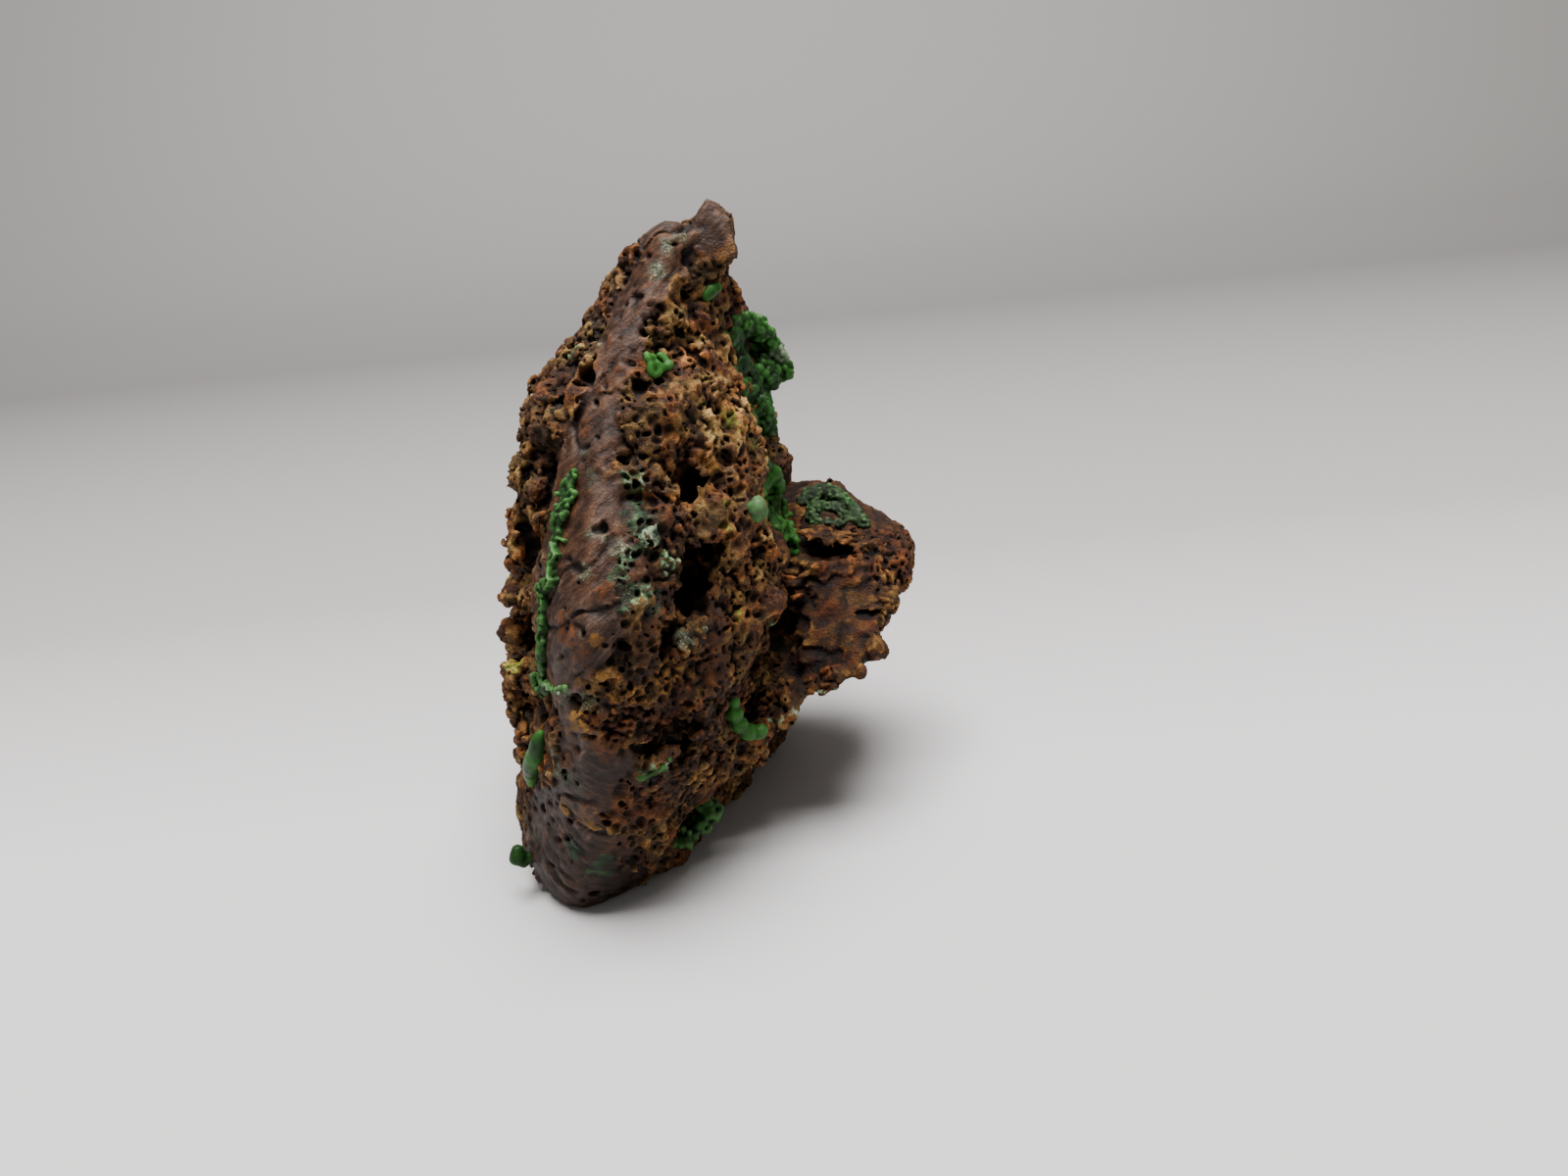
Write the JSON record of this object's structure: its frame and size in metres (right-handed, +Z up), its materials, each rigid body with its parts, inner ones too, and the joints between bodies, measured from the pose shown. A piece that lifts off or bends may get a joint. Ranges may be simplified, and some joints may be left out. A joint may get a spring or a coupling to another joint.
{
  "type": "mineral specimen",
  "caption": "Standing slab of brown, spongy limonite with a side lobe and bright green botryoidal conichalcite crusts; a display mineral that rests on a flat sole.",
  "frame": {"origin": "middle of the bounding box at the height of the flat sole", "axes": "+Z up, as the specimen stands; -Y towards the broken edge that the picture shows; +X towards the side lobe"},
  "size_m": [0.0394, 0.0418, 0.0559],
  "materials": {
    "limonite": "matte",
    "conichalcite": "satin"
  },
  "bodies": {
    "root": {"limonite_matrix": "limonite", "conichalcite_rear_patch": "conichalcite", "conichalcite_neck_crust": "conichalcite", "conichalcite_left_ribbon": "conichalcite", "conichalcite_left_vein": "conichalcite", "conichalcite_front_cluster": "conichalcite", "conichalcite_top_bead": "conichalcite", "conichalcite_pale_bead": "conichalcite", "conichalcite_hook": "conichalcite", "conichalcite_hollow_rims": "conichalcite", "conichalcite_rim_tuft": "conichalcite", "conichalcite_foot_bead": "conichalcite", "conichalcite_lobe_crust": "conichalcite"}
  },
  "joints": []
}
